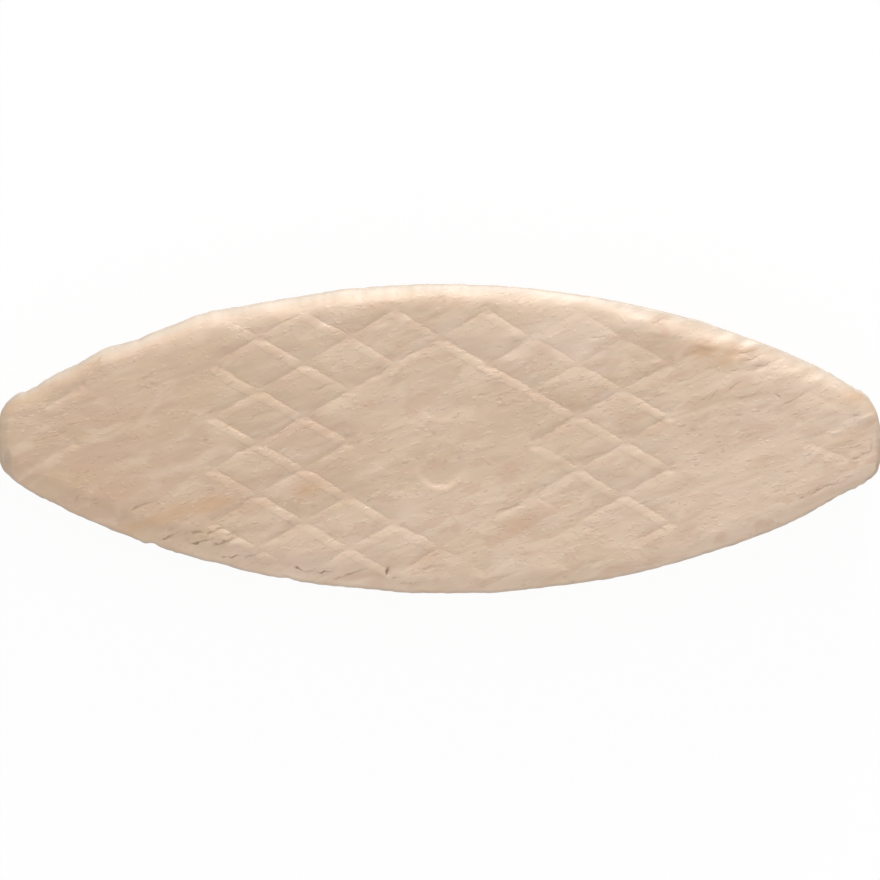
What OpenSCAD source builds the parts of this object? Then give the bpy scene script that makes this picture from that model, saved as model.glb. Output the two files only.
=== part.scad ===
/* [Blank] */
// Overall length from blunt tip to blunt tip
blank_l = 53; // [48:0.5:60]
// Overall width across the two curved edges
blank_w = 18.6; // [15:0.1:20]
// Thickness between the two pressed faces
blank_t = 4; // [3.2:0.1:4.8]
// Width of each blunt tip, where the two edge arcs stop
tip_w = 4.7; // [3:0.1:5.4]
// Radius of the slight crown on each blunt tip
tip_crown_r = 12; // [8:0.5:14]
// Radius rolled onto every edge by the press
edge_round = 1.2; // [0.6:0.1:1.5]

/* [Pressed lattice] */
// Length of one diamond along the biscuit
diamond_l = 5.58; // [4.5:0.02:6.5]
// Width of one diamond across the biscuit
diamond_w = 3.12; // [2.6:0.02:3.8]
// Width of a pressed line at the face
line_w = 1.2; // [0.7:0.05:1.4]
// Depth of a pressed line below the face
line_depth = 0.16; // [0.08:0.02:0.3]
// Half diamonds in the lattice on each side of the middle
field_cells = 5; // [4:1:6]
// Half diamonds kept plain beside the middle
panel_cells = 2; // [1:1:3]
// Half diamonds from the middle up to the plain panel's point
panel_reach = 4; // [2:2:6]
// Half diamonds from the middle to the next lattice at a tip
next_field = 8; // [7:1:9]

/* [Press dimples] */
// Diameter of each of the two plain round dimples
dimple_d = 2.6; // [1.6:0.1:3.2]
// Depth of a dimple below the face
dimple_depth = 0.14; // [0.06:0.02:0.3]
// Distance between the two dimple centres
dimple_pitch = 3.5; // [3.3:0.1:4.5]

/* [Torn fibres] */
// Angle of the wood grain to the biscuit's length
grain_angle = 20; // [0:1:45]
// Depth at the open end of each torn sliver
tear_depth = 0.18; // [0.08:0.02:0.3]
// Depth of the shallow dents along the rim
dent_depth = 0.16; // [0.06:0.02:0.3]

/* [Hidden] */

// Facet count of the big arcs and of the small ones
$fn = 96;

// The edge arcs pass through the tips at half tip_w and reach half blank_w in the middle
arc_rise = (blank_w - tip_w) / 2;
arc_r = ((blank_l / 2) ^ 2 + arc_rise ^ 2) / (2 * arc_rise);
// Half the width of the blank at a place along its length
function half_width(x) = sqrt(arc_r ^ 2 - x ^ 2) - arc_r + blank_w / 2;

// Cutters stand this far above the face that they cut
cut_over = 0.4;
// A torn sliver's depth at its far end, as a share of its depth at the open end
tear_tail = 0.25;
// The next lattice has lines from the nodes up to this row on each side of the middle
tip_rows = 2;
// The lattice is a grid of nodes, half a diamond apart both ways
step_x = diamond_l / 2;
step_y = diamond_w / 2;
function lattice_node(k, j) = [k * step_x, j * step_y];

// Slivers torn out along the grain on the upper face. Each row gives the place along the blank as a
// share of its half length, the side, the inset from the edge, and the sliver's length
TEARS = [
    [-0.70, -1, 2.3, 1.4], [-0.58, -1, 2.0, 2.4], [-0.54, -1, 1.5, 2.6], [-0.50, -1, 2.2, 1.8],
    [-0.45, -1, 1.2, 1.6], [-0.32, -1, 1.0, 1.2], [-0.24, -1, 1.2, 2.6], [-0.12, -1, 1.3, 0.8],
    [0.86, -1, 1.1, 2.0], [0.93, -1, 2.0, 1.0],
    [0.56, 1, 1.2, 1.8], [0.62, 1, 1.0, 2.4], [0.70, 1, 1.0, 2.6], [0.78, 1, 1.0, 2.2]
];
// Shallow dents on the rim. Each row gives the place along the blank as a share of its half length,
// the side and the dent's length
DENTS = [
    [-0.67, 1, 4.0], [-0.40, -1, 6.0], [-0.86, -1, 3.0], [0.58, 1, 4.0], [0.90, -1, 4.0], [-0.15, -1, 4.5]
];

// A coin as thick as the blank, with the pressed round on both rims
module coin(r) {
    rotate_extrude()
        union() {
            square([r - edge_round, blank_t]);
            translate([0, edge_round]) square([r, blank_t - 2 * edge_round]);
            translate([r - edge_round, edge_round]) circle(edge_round);
            translate([r - edge_round, blank_t - edge_round]) circle(edge_round);
        }
}

// The length of the blank: a wide slab that ends in a crowned coin at each tip
module tip_limit() {
    slab_l = blank_l - 2 * tip_crown_r;
    translate([-slab_l / 2, -blank_w, -cut_over])
        cube([slab_l, 2 * blank_w, blank_t + 2 * cut_over]);
    translate([slab_l / 2, 0, 0]) coin(tip_crown_r);
    translate([-slab_l / 2, 0, 0]) coin(tip_crown_r);
}

// The lens where two large coins overlap, cut to length at the tips
module blank() {
    intersection() {
        translate([0, arc_r - blank_w / 2, 0]) coin(arc_r);
        translate([0, blank_w / 2 - arc_r, 0]) coin(arc_r);
        union() tip_limit();
    }
}

// One pressed line between two points of the upper face: a V that rises in a hip past both points
module pressed_line(from, to) {
    run = norm(to - from);
    reach = line_w / 2 * (1 + cut_over / line_depth);
    translate([from.x, from.y, blank_t])
        rotate([0, 0, atan2(to.y - from.y, to.x - from.x)])
            intersection() {
                translate([-reach, 0, 0])
                    rotate([90, 0, 90])
                        linear_extrude(run + 2 * reach)
                            polygon([[0, -line_depth], [reach, cut_over], [-reach, cut_over]]);
                translate([0, line_w + reach, 0])
                    rotate([90, 0, 0])
                        linear_extrude(2 * (line_w + reach))
                            polygon([
                                [0, -line_depth], [run, -line_depth],
                                [run + reach, cut_over], [-reach, cut_over]
                            ]);
            }
}

// The lattice lines that rise to the right. Line a holds the nodes (k, k - a). It stops at both sides
// of the plain panel if it would cross it, and runs on if it bounds the panel or passes it by
module rising_lines() {
    for (a = [-2 * field_cells + 2 : 2 : 2 * field_cells - 2]) {
        low = max(-field_cells, a - field_cells);
        high = min(field_cells, a + field_cells);
        gap_low = max(-panel_cells, (a - panel_reach) / 2);
        gap_high = min(panel_cells, (a + panel_reach) / 2);
        if (abs(a) < panel_reach) {
            pressed_line(lattice_node(low, low - a), lattice_node(gap_low, gap_low - a));
            pressed_line(lattice_node(gap_high, gap_high - a), lattice_node(high, high - a));
        } else {
            pressed_line(lattice_node(low, low - a), lattice_node(high, high - a));
        }
    }
}

// The first lines of the next lattice, which the blank's tips reach into
module tip_lines() {
    for (j = [-tip_rows : 2 : tip_rows])
        for (side = [-1, 1])
            pressed_line(lattice_node(next_field, j), lattice_node(next_field + 1, j + side));
}

// The two plain round dimples in the middle of the panel
module dimples() {
    r = ((dimple_d / 2) ^ 2 + dimple_depth ^ 2) / (2 * dimple_depth);
    for (side = [-1, 1])
        translate([0, side * dimple_pitch / 2, blank_t - dimple_depth + r]) sphere(r);
}

// Everything that the press leaves in one face
module press_pattern() {
    rising_lines();
    mirror([0, 1, 0]) rising_lines();
    tip_lines();
    mirror([1, 0, 0]) tip_lines();
    dimples();
}

// Splinters gone from the upper face: each is half a cone that runs out along the grain
module torn_fibres() {
    for (t = TEARS) {
        x = t[0] * blank_l / 2;
        y = t[1] * (half_width(x) - t[2]);
        translate([x, y, blank_t])
            rotate([0, 0, grain_angle])
                rotate([0, 90, 0]) cylinder(h = t[3], r1 = tear_depth, r2 = tear_tail * tear_depth);
    }
}

// Shallow dents on the rim, each hollowed by an upright cylinder beside the edge
module rim_dents() {
    for (d = DENTS) {
        x = d[0] * blank_l / 2;
        r = ((d[2] / 2) ^ 2 + dent_depth ^ 2) / (2 * dent_depth);
        out = asin(x / arc_r);
        translate([x, d[1] * half_width(x), -cut_over])
            rotate([0, 0, -d[1] * out])
                translate([0, d[1] * (r - dent_depth), 0])
                    cylinder(h = blank_t + 2 * cut_over, r = r);
    }
}

module biscuit() {
    color("burlywood")
        difference() {
            blank();
            press_pattern();
            translate([0, 0, blank_t]) mirror([0, 0, 1]) press_pattern();
            torn_fibres();
            rim_dents();
        }
}

biscuit();
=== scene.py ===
# Jointing biscuit: a pressed beech lens that lies flat on a white table, seen from straight above
import math
import bpy
import numpy as np
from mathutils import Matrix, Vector


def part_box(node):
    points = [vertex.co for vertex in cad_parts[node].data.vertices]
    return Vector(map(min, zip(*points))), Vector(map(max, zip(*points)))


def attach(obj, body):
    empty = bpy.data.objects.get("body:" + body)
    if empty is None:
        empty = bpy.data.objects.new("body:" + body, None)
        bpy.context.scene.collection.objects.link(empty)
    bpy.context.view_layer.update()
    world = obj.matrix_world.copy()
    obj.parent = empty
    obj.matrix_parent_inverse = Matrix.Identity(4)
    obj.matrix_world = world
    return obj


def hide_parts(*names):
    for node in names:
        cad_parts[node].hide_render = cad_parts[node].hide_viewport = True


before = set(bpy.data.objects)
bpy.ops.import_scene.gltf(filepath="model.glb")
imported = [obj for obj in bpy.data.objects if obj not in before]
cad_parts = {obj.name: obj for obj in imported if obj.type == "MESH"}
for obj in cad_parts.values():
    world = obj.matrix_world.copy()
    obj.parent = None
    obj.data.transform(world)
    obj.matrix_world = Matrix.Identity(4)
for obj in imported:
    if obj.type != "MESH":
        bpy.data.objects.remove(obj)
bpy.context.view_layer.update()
print("frame loaded")

# Sizes in the dictionaries below are millimetres, and Blender's are metres
mm = 0.001
lowCorner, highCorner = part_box("biscuit")

# The stamped blank and its rolled edge
blank = {
    "length": (highCorner.x - lowCorner.x) / mm,
    "width": (highCorner.y - lowCorner.y) / mm,
    "thickness": (highCorner.z - lowCorner.z) / mm,
    "tipWidth": 4.65,        # where the two edge arcs stop
    "arcShift": 0.13,        # the arcs' centres lie this far to the right
    "crownRadius": 14.0,     # of each blunt tip
    "cornerBlend": 0.9,      # how much the four corners at the tips are rounded off
    # how far the rolled edge reaches in over the face: place along the blank, reach
    "upperReach": [
        (-26, 0.55), (-25.3, 0.58), (-24, 0.6), (-18, 0.85), (-12, 1.0), (-7, 1.05), (0, 0.92),
        (4, 0.78), (6.5, 0.52), (9.5, 0.68), (11, 0.8), (12.6, 1.0), (15.5, 1.1), (18.5, 0.8),
        (20, 0.75), (23, 0.8), (25.2, 0.6), (26, 0.36),
    ],
    "lowerReach": [
        (-26, 0.55), (-25.3, 0.65), (-24, 0.9), (-18, 0.95), (-8, 0.75), (2, 0.6), (12, 0.4),
        (25, 0.4), (26, 0.36),
    ],
    "rimGrit": 0.12,         # raggedness of the line where the rolled edge starts
    "rimSlope": 0.70,        # how steeply it drops there
    "tornRimSlope": 0.42,    # the same on the torn shoulder of the upper edge
    "shoulder": (8, 13),     # and over which stretch that sets in
    # where the upper edge is less steep: place, half length, share
    "wornEdgeAndGreyLine": [(5.0, 6.0, 0.16), (-21.5, 4.5, 0.22)],
    "edgeChange": (-1, 3),   # across this stretch the lower edge's sizes give way to the upper edge's
    "rimSoft": 0.20,         # how softly it starts
    "rimRound": 0.15,        # rounding where it meets the wall
    "rimBand": 1.4,          # width of the band where the grid's rows crowd
    "wallGrit": 0.03,        # how far the wall's fibres stand back
    # where the edge is torn: from, to, side, width, strength
    "tornEdges": [
        (3.0, 20.0, 1, 1.15, 1.0), (15.5, 25.5, 1, 1.8, 0.9), (-21, -2, -1, 1.3, 0.7),
        (-26.5, -24, 1, 1.0, 0.5), (9, 22, -1, 0.6, 0.4),
    ],
    "crownSlope": 0.12,      # how steeply the face itself bends down beside the upper edge
    "crownReach": 3.2,       # and how far in that starts
    "crownStart": (-21, -13),  # it sets in over this stretch of the upper edge
    "crownEnd": (7, 13),     # and ends over this one
    "tornSlope": 0.15,       # how steeply the face leans out where it is torn
    "edgeGrit": 0.025,       # raggedness of the outline
    "tipGrit": 0.05,         # more of it near the tips
    "tipStart": (21, 25),    # over this stretch it sets in
    "markFade": (0.15, 0.8),  # share of every mark left at the outline, and how far in they are whole
    # swellings and dents of the outline: place along it, side, half length, height outwards
    "edgeDents": [
        (-24.7, 1, 1.2, -0.12), (-22.3, 1, 3.0, -0.13), (-24.9, -1, 1.5, -0.1), (-20.2, 1, 0.8, 0.15),
        (-18.1, 1, 0.7, -0.1), (-14.0, 1, 1.7, 0.19), (-8.4, 1, 1.5, -0.05), (15.7, 1, 1.0, 0.06),
        (-25.4, -1, 0.6, -0.1), (-13.2, -1, 1.5, -0.05), (-4.5, -1, 1.6, -0.06), (3.3, -1, 1.0, 0.06),
        (11.1, -1, 3.0, 0.07), (24.3, -1, 1.1, -0.18), (25.6, -1, 0.9, -0.1), (24.9, 1, 1.4, -0.13),
        (-24.6, -1, 0.8, 0.1), (-17.2, -1, 0.35, -0.11), (-17.75, -1, 0.3, 0.07),
        (-9.1, -1, 0.3, -0.08), (23.0, -1, 1.5, -0.12),
    ],
    # worn places of the tips: place across, end, half length, height outwards
    "tipDents": [
        (2.3, 1, 1.0, -0.3), (1.2, 1, 0.7, -0.06), (-2.5, -1, 0.5, -0.16), (2.5, -1, 0.5, -0.1),
    ],
    "rayRoot": 0.9,          # a grid column crosses the middle line at this share of its end's place
    "columns": 400,          # grid columns from tip to tip
    "rows": 102,             # grid rows from the middle line out to the edge, upper face
    "underRows": 30,         # the same on the underside, which has half the columns
    "rimRows": 14,           # rows of those that lie on the rolled edge
    "wallRings": [0.03, 0.3, 0.65, 1.0],  # how far down the wall each ring lies
    "clearance": 0.004,      # least height of the underside over the table
}

# The diamond lattice that the press leaves in both faces
lattice = {
    "diamondLength": 5.48,
    "diamondWidth": 3.15,
    "centre": (0.10, -0.215),
    "fieldCells": 5,         # half diamonds from the middle to the lattice's far side
    "panelCells": 2,         # half diamonds kept plain beside the middle
    "panelReach": 4,         # half diamonds from the middle to the plain panel's points
    # lines that rise to the right and lines that fall: depth, how far the land below the line and the
    # land above it bend down towards it, and the share of the depth that is a narrow crease
    "rising": (0.088, 0.80, 0.95, 0.34),
    "falling": (0.088, 0.56, 1.35, 0.0),
    "creaseWidth": 0.16,     # how far above its line that crease fades out
    "nodeReach": 0.52,       # reach of the small level pit where lines cross
    "nodeLevel": 0.35,       # share of that which is quite level
    "creaseClear": (0.3, 0.9),  # shares of that reach over which a crease's sharp edge sets in
    "tipCrease": 0.2,        # share of that sharp edge on the next lattice's lines
    "tipField": (6, 7),      # which start between these half diamonds from the middle
    "furthest": 0.6,         # a line's sharp edge is looked for no further off than this
    "endFade": 0.45,         # how far a line fades out past its ends
    "cornerReach": 1.2,      # how wide around the lines crossing hollows are kept from adding up
    "cornerCut": 10.0,       # and how sharply
    "wander": 0.09,          # how far a line strays from the grid
    "ragged": 0.045,         # and how ragged its edges are
    "unevenness": 0.3,       # how much the depth changes along a line
    # lines of the next lattice at each tip: from node, to node, share of the depth on the upper face
    "tipLines": [
        ((-8, 0), (-9, -1), 0.75), ((-8, 0), (-9, 1), 0.25), ((-7.8, 2.2), (-8.6, 1.4), 1.0),
        ((-8, 2), (-9, 3), 0), ((-8, -2), (-9, -1), 0.1), ((-8, -2), (-9, -3), 0),
        ((7.94, -0.02), (8.84, -0.57), 0.8), ((8, 0), (9, 1), 0.3), ((8, 2), (9, 1), 0.1),
        ((8, 2), (9, 3), 0), ((8, -2), (9, -1), 0.3), ((8, -2), (9, -3), 0),
    ],
    # places where the press left more or less: along, across, radius, share left
    "wornSpots": [
        (4.4, -5.4, 1.4, 0.1), (1.6, -6.0, 1.4, 0.2), (4.6, -7.2, 1.6, 0.1), (7.2, -6.9, 1.8, 0.1),
        (7.2, -4.5, 0.9, 0.15), (10.2, -6.0, 1.4, 0.1), (11.0, -7.6, 1.8, 0.05), (1.0, -7.6, 1.4, 0.2),
        (5.8, 7.2, 1.6, 0.2), (8.4, 6.2, 1.9, 0.1), (12.6, 6.8, 1.9, 0.2), (-15.2, -5.9, 1.5, 0.3),
        (-13.0, 7.3, 1.5, 0.05), (-13.9, 4.9, 0.8, 0.3), (-9.7, -5.4, 1.2, 1.7),
        (-12.3, 3.9, 1.2, 1.5), (3.6, 5.2, 1.5, 1.4), (13.4, -5.6, 0.9, 1.3), (6.9, -0.9, 1.1, 0.6),
        (-6.9, -0.8, 1.2, 1.4), (-7.4, 2.4, 1.0, 1.3),
    ],
}

# Two plain round dimples in the panel
dimples = {
    "places": [(0, 2.15, 1.2, 0.05), (0, -1.6, 1.5, 0.11)],  # along, across, radius, depth
    "floor": 0.75,           # radius of the level floor as a share of the dimple's
    "tilt": 0.6,             # share of the depth in the middle, and by how much it differs at the edges
}

# The run of the grain and the roughness of the fibres
grain = {
    "angle": math.radians(19),
    "bend": 0.0035,          # the grain steepens to the right by this much per millimetre
    "waveHeight": 0.034,     # slow waves in the face
    "fibreHeight": 0.004,    # fine ridges along the grain
    "flakeHeight": 0.024,    # loose flakes on the torn shoulder
    "calm": (-16, -8, 0.4),  # both are weaker left of this stretch, with this share there
    "lively": (5, 12, 0.35),  # and stronger right of this one, by this share
}

# Slivers torn out of the upper face: from along, across, to along, across, width, depth. A negative
# depth is a ledge that stands up
tears = [
    (-21.86, -3.58, -21.56, -3.34, 0.24, 0.05), (-21.32, -3.67, -20.9, -3.61, 0.18, 0.03),
    (-20.66, -3.88, -20.42, -3.76, 0.18, 0.05), (-18.31, -4.19, -17.29, -3.82, 0.3, 0.055),
    (-17.77, -5.42, -17.53, -5.33, 0.18, 0.03), (-16.5, -5.99, -15.6, -5.57, 0.3, 0.08),
    (-15.96, -5.57, -15.6, -5.39, 0.18, 0.03), (-14.7, -5.63, -14.15, -5.54, 0.3, 0.07),
    (-13.37, -5.39, -12.89, -5.27, 0.24, 0.04), (-14.7, -6.29, -13.67, -6.02, 0.36, 0.1),
    (-13.37, -6.29, -12.17, -5.87, 0.42, 0.07), (-12.95, -7.05, -12.65, -7.02, 0.24, 0.07),
    (-12.47, -7.11, -11.93, -7.02, 0.3, 0.09), (-11.5, -7.08, -10.72, -6.87, 0.3, 0.05),
    (-10.6, -7.56, -9.64, -7.44, 0.24, 0.03), (-8.61, -7.77, -8.07, -7.92, 0.36, 0.1),
    (-7.89, -7.92, -7.17, -7.86, 0.24, 0.03), (-7.11, -7.98, -6.44, -7.92, 0.3, 0.09),
    (-6.2, -8.34, -5.42, -8.13, 0.24, 0.06), (-5.48, -8.13, -4.46, -7.86, 0.24, 0.06),
    (-3.25, -8.01, -3.01, -7.71, 0.3, 0.13), (-2.77, -8.34, -2.41, -8.34, 0.18, 0.05),
    (-2.17, -8.7, -0.48, -8.52, 0.3, 0.03), (-0.84, -7.74, 0.0, -7.56, 0.36, 0.03),
    (12.77, 6.93, 13.37, 7.17, 0.24, 0.042), (17.89, 5.03, 18.79, 5.33, 0.3, 0.042),
    (19.09, 4.25, 20.24, 4.73, 0.3, 0.036), (17.1, 3.98, 17.8, 4.22, 0.3, 0.012),
    (14.33, 3.46, 15.54, 3.88, 0.42, 0.024), (16.02, 4.16, 16.62, 4.37, 0.24, 0.018),
    (17.41, 3.01, 18.07, 3.46, 0.24, 0.036), (16.32, 2.62, 16.62, 2.95, 0.2, 0.035),
    (18.07, 2.38, 19.27, 2.86, 0.24, 0.024), (20.21, 2.56, 20.42, 2.38, 0.18, 0.042),
    (20.72, 2.14, 21.68, 2.56, 0.24, 0.03), (21.62, 2.5, 21.98, 2.8, 0.18, 0.03),
    (12.95, 2.56, 13.49, 2.74, 0.24, 0.024), (15.66, 2.38, 15.9, 2.56, 0.18, 0.024),
    (24.81, -1.2, 25.42, -0.93, 0.14, 0.04), (25.36, -0.96, 25.78, -0.69, 0.14, 0.036),
    (25.78, -0.75, 25.81, -0.15, 0.14, 0.03), (22.53, -3.16, 23.85, -2.5, 0.18, 0.048),
    (21.56, -3.55, 21.92, -3.31, 0.24, 0.03), (24.27, -2.32, 24.69, -2.2, 0.18, 0.024),
    (24.81, 1.39, 25.12, 1.51, 0.18, 0.042), (4.58, 5.81, 5.96, 6.35, 0.42, 0.018),
    (9.15, 6.02, 9.76, 6.17, 0.18, 0.03), (11.81, 2.02, 12.65, 2.38, 0.24, 0.024),
    (8.67, -7.44, 10.06, -7.14, 0.24, 0.018), (11.81, -7.68, 13.37, -7.2, 0.24, 0.018),
    (3.61, -4.25, 4.82, -3.95, 0.36, 0.04), (-7.23, 3.04, -6.38, 3.34, 0.18, 0.03),
    (2.41, 2.62, 3.13, 2.86, 0.18, 0.03), (15.65, 5.65, 17.8, 5.45, 0.4, -0.05),
    (16.0, 6.05, 16.6, 6.13, 0.3, -0.04), (17.0, 5.95, 18.1, 5.75, 0.35, -0.04),
    (18.1, 4.9, 19.0, 4.55, 0.3, -0.05), (18.5, 4.7, 19.4, 5.1, 0.16, 0.045),
    (18.9, 4.5, 19.9, 4.92, 0.18, -0.045), (18.3, 5.15, 19.0, 5.42, 0.14, 0.04),
    (12.9, 6.35, 14.3, 6.15, 0.3, -0.04), (2.7, -8.6, 5.3, -7.7, 0.2, 0.022),
    (-16.3, -5.75, -15.7, -5.5, 0.2, -0.04), (-14.0, -5.75, -13.3, -5.5, 0.18, -0.03),
    (-13.0, -6.0, -12.4, -5.75, 0.18, -0.03), (-14.35, -5.97, -13.45, -5.68, 0.16, 0.03),
    (-14.9, -6.05, -14.3, -5.85, 0.2, -0.04), (-12.4, -6.35, -11.8, -6.1, 0.25, -0.05),
    (-13.8, -5.62, -13.2, -5.42, 0.18, 0.05), (-12.7, -5.72, -12.0, -5.52, 0.18, 0.03),
    (26.0, 1.5, 24.4, 1.02, 0.5, -0.09), (24.7, 1.84, 25.1, 2.02, 0.2, -0.05),
    (24.57, 1.48, 25.05, 1.66, 0.2, -0.05), (23.5, 0.39, 24.2, 0.63, 0.5, -0.05),
    (21.7, 4.6, 22.4, 4.85, 0.3, -0.05), (21.1, 4.0, 21.7, 4.3, 0.3, -0.04),
    (22.6, 3.64, 23.4, 4.0, 0.35, -0.05), (19.1, 3.95, 19.9, 4.37, 0.25, -0.04),
    (19.4, 4.25, 20.8, 4.7, 0.25, -0.04), (22.9, 2.6, 23.7, 2.95, 0.25, -0.03),
    (11.6, 7.2, 12.5, 7.1, 0.35, -0.035), (9.9, 5.3, 10.6, 5.6, 0.18, -0.03),
    (9.6, 5.1, 10.2, 5.2, 0.15, -0.03),
]

# The cut of every tear
tearShape = {
    "edge": 0.07,            # half width of its sharp upper wall
    "wobble": 0.08,          # how far its line strays
    "fade": (0.07, 0.12),    # how far it runs out past its ends: a fixed part and a share of its length
    "depths": (1.2, 0.3),    # its depth at its start and at its far end, as shares of the depth given
    "reach": 0.3,            # a tear hides a weaker one within this distance
    "furthest": 0.5,         # distances above its line are kept within this
    "fullDepth": 0.1,        # depth from which its painted shade and its fine step show in full
    "wallReach": 0.22,       # how far around its line the painted shade and the fine step may show
}

# Brown clouds in the wood, some of them painted shade: along, across, half length, half width, strength
cloudsAndShade = [
    (-16.4, -4.65, 1.4, 0.45, 1.0), (-14.7, -4.2, 1.6, 0.42, 0.85), (-13.2, -3.8, 1.4, 0.5, 0.7),
    (-18.6, -5.5, 1.1, 0.45, 0.7), (-11.7, -4.5, 1.0, 0.5, 0.45), (-8.0, -3.1, 0.9, 0.75, 0.9),
    (-20.0, -3.6, 2.5, 0.8, 0.35), (-21.5, -2.2, 1.3, 1.0, 0.35), (-19.5, 2.0, 5.0, 2.4, 0.2),
    # painted shade: the last cloud on this line, on the shaded side of the right tip's groove, and all
    # three on the next, in a hollow at the right tip, on that groove's shaded side and in the lower
    # dimple's shaded hollow
    (-24.6, -2.2, 1.5, 0.8, 0.2), (-2.3, 5.4, 0.8, 0.4, 0.4), (24.6, 0.1, 0.9, 0.5, 0.7),
    (25.8, 1.75, 0.4, 0.3, 0.8), (23.6, -0.5, 1.2, 0.35, 0.5), (-0.5, -1.5, 1.7, 0.4, 0.4),
    (3.5, -1.7, 4.0, 0.8, 0.3), (4.5, -5.3, 1.5, 0.6, 0.6), (7.5, -3.9, 1.2, 0.5, 0.35),
    (-6.0, 0.5, 3.0, 0.8, 0.2), (8.0, 1.8, 1.5, 0.5, 0.3), (12.4, 5.9, 1.2, 0.4, 0.45),
    (14.0, 5.4, 1.3, 0.45, 0.6), (15.6, 5.05, 1.3, 0.55, 0.8), (17.1, 4.7, 1.1, 0.6, 1.0),
    (14.5, 3.6, 2.0, 0.6, 0.4), (24.8, 2.65, 0.8, 0.4, 1.0), (25.1, 2.4, 0.7, 0.35, 0.8),
    (0.0, -6.6, 2.6, 0.7, 0.3),
]

# Paler places in the wood, some of them painted highlights, given the same way
paleCloudsAndHighlights = [
    (-12.0, 6.4, 4.0, 1.2, 0.22), (-8.0, 6.6, 3.0, 1.0, 0.25), (-5.0, 5.2, 3.0, 1.0, 0.25),
    (5.0, 6.8, 4.0, 1.3, 0.45), (7.5, 6.9, 2.6, 0.8, 0.5), (8.8, 5.4, 2.2, 1.2, 0.85),
    (5.0, 5.6, 2.5, 1.0, 0.3), (11.2, 6.8, 2.0, 0.5, 0.5), (15.3, 6.3, 1.4, 0.35, 0.6),
    (-10.5, 4.4, 2.5, 1.2, 0.22), (17.5, -1.8, 6.0, 2.2, 0.38), (11.0, -2.6, 4.5, 1.8, 0.25),
    (7.2, -0.8, 3.0, 1.4, 0.15), (9.2, -2.4, 1.6, 0.8, 0.3), (12.3, -0.4, 1.8, 0.8, 0.3),
    (13.2, -5.2, 3.0, 1.6, 0.22), (23.4, 1.2, 2.2, 2.2, 0.32), (19.6, 4.4, 2.0, 0.7, 0.35),
    (-12.0, -7.3, 3.0, 0.9, 0.55), (-6.5, -7.4, 3.4, 1.0, 0.48), (-2.6, -5.6, 2.0, 1.0, 0.35),
    (20.4, 4.5, 1.9, 0.7, 0.45), (22.4, 3.5, 1.8, 0.8, 0.5), (20.5, -2.6, 3.0, 1.0, 0.3),
    # painted highlight: the last place on this line and the first two on the next lie on the lit side
    # of the right tip's groove
    (3.7, -7.7, 0.9, 0.4, 0.4), (7.0, -6.6, 2.2, 0.9, 0.25), (22.3, -0.85, 0.6, 0.25, 0.4),
    (23.1, -1.1, 0.6, 0.25, 0.5), (24.0, -1.4, 0.6, 0.25, 0.4), (25.2, 1.25, 0.9, 0.3, 1.0),
    (24.2, 0.75, 0.9, 0.3, 0.4), (24.0, 3.6, 0.9, 0.4, 0.5), (19.6, 4.4, 1.0, 0.5, 0.3),
    (-2.0, -8.3, 3.0, 0.8, 0.25), (4.0, -8.3, 4.0, 0.8, 0.22), (1.5, -3.8, 3.0, 0.9, 0.18),
    (-1.6, -3.8, 1.6, 0.8, 0.3), (-7.6, -5.2, 1.2, 0.7, 0.3), (-0.4, 1.9, 1.1, 0.8, 0.35),
    # painted highlight: the last place on this line lies on the lower dimple's lower wall, which faces
    # the key lamp
    (1.45, -2.1, 0.5, 0.25, 0.5), (-0.2, -3.0, 0.8, 0.16, 0.4),
]

# Places rubbed smooth, given the same way
rubbed = [
    (12.0, 6.3, 1.8, 1.0, 0.8), (14.6, 5.3, 2.0, 1.1, 1.0), (16.6, 4.7, 1.4, 0.9, 0.8),
    (6.0, 7.0, 3.0, 0.8, 0.5), (8.5, 5.6, 1.4, 1.0, 0.6), (-18.5, -1.5, 3.0, 2.0, 0.4),
    (-15.0, 4.5, 3.0, 1.5, 0.4),
]


def smoothNoise(u, v, seed):
    # from -1 to 1: random heights on a unit grid, joined by the curve 3t^2 - 2t^3 both ways
    heights = np.random.default_rng(seed).uniform(-1, 1, (256, 256))
    column, row = np.floor(u).astype(int), np.floor(v).astype(int)
    s, t = u - column, v - row
    s, t = s * s * (3 - 2 * s), t * t * (3 - 2 * t)

    def corner(i, j):
        return heights[(column + i) % 256, (row + j) % 256]

    near = corner(0, 0) * (1 - s) + corner(1, 0) * s
    far = corner(0, 1) * (1 - s) + corner(1, 1) * s
    return near * (1 - t) + far * t


def smoothStep(low, high, value):
    # 0 below low, 1 above high, and the curve 3t^2 - 2t^3 between
    t = np.clip((value - low) / (high - low), 0, 1)
    return t * t * (3 - 2 * t)


def grainPlace(x, y):
    # turns a point so that the first number runs along the grain and the second across it, which a
    # parabola bends as the grain does
    along = x * math.cos(grain["angle"]) + y * math.sin(grain["angle"])
    across = y * math.cos(grain["angle"]) - x * math.sin(grain["angle"]) - grain["bend"] * x * x / 2
    return along, across


def arcSizes():
    # radius and centre height of the edge arcs, which pass through the tips' corners
    rise = (blank["width"] - blank["tipWidth"]) / 2
    radius = ((blank["length"] / 2) ** 2 + rise ** 2) / (2 * rise)
    return radius, radius - blank["width"] / 2


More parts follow.
